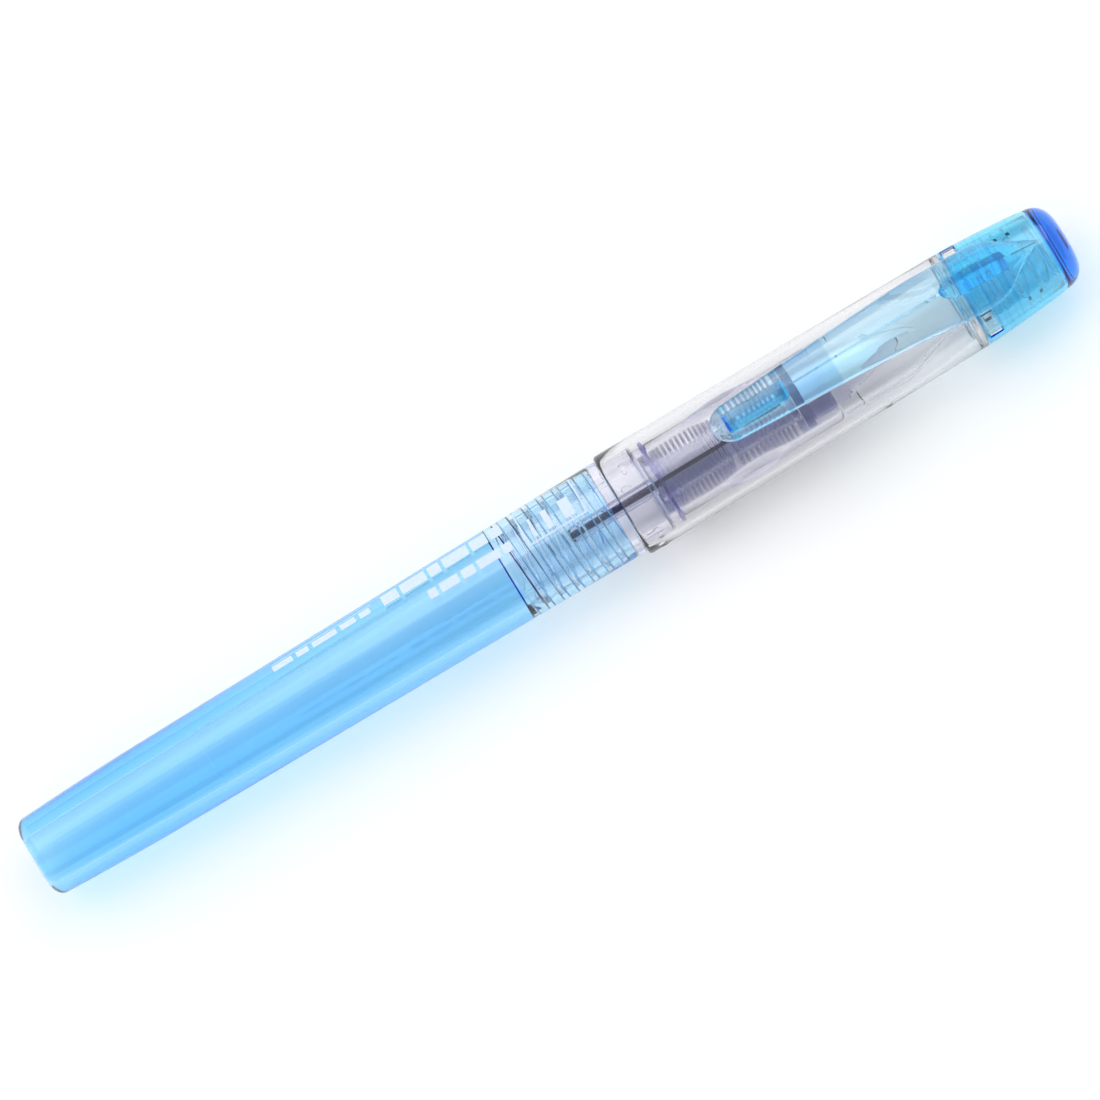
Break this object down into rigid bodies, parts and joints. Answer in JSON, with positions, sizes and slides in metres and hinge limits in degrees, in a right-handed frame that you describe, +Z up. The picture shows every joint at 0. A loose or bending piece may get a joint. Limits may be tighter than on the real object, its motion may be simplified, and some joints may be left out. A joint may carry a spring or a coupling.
{
  "type": "fountain pen",
  "caption": "Capped translucent fountain pen with threaded barrel, finned feed, sprung inner cap, push-on cap and spring clip.",
  "frame": {"origin": "on the table surface under the middle of the capped pen", "axes": "+X along the pen from the barrel's closed end to the cap's crown, +Z up with the clip on top, +Y across"},
  "size_m": [0.138, 0.013, 0.0153],
  "materials": {
    "barrel_blue": "polished transparent pale blue",
    "cartridge_clear": "clear",
    "section_clear": "polished transparent",
    "ring_violet": "soft satin",
    "feed_violet": "translucent",
    "ink_navy": "wet with ink",
    "holder_navy": "ink-stained translucent",
    "nib_steel": "satin",
    "inner_cap_clear": "transparent",
    "spring_clear": "transparent moulded",
    "cap_clear": "polished transparent",
    "crown_blue": "polished transparent blue",
    "clip_blue": "polished transparent blue"
  },
  "bodies": {
    "barrel": {"barrel": "barrel_blue"},
    "cartridge": {"cartridge": "cartridge_clear"},
    "section": {"grip_section": "section_clear", "sealing_ring": "ring_violet", "feed_collector": "feed_violet", "ink_channel": "ink_navy", "nib_holder": "holder_navy", "nib": "nib_steel"},
    "inner_cap": {"inner_cap": "inner_cap_clear"},
    "seal_spring": {"seal_spring": "spring_clear"},
    "cap": {"cap_tube": "cap_clear", "cap_crown": "crown_blue"},
    "clip": {"clip": "clip_blue"}
  },
  "joints": [
    {"name": "section_advance", "type": "slide", "parent": "barrel", "child": "cartridge", "axis": [1, 0, 0], "range_m": [0, 0.01188]},
    {"name": "section_unscrew", "type": "hinge", "parent": "cartridge", "child": "section", "pos_m": [0, 0, 0.00647], "axis": [1, 0, 0], "range_deg": [0, 2160]},
    {"name": "cap_pull", "type": "slide", "parent": "section", "child": "inner_cap", "axis": [1, 0, 0], "range_m": [0, 0.06]},
    {"name": "seal_float", "type": "slide", "parent": "inner_cap", "child": "seal_spring", "axis": [1, 0, 0], "range_m": [0, 0.0009], "stiffness_N_per_m": 400},
    {"name": "cap_turn", "type": "hinge", "parent": "seal_spring", "child": "cap", "pos_m": [0, 0, 0.00647], "axis": [1, 0, 0], "continuous": true},
    {"name": "clip_flex", "type": "hinge", "parent": "cap", "child": "clip", "pos_m": [0.0661, 0, 0.01177], "axis": [0, 1, 0], "range_deg": [0, 3], "stiffness_Nm_per_rad": 4}
  ],
  "couplings": [
    {"joint": "section_unscrew", "follows": "section_advance", "rad_per_m": 3173.3}
  ]
}
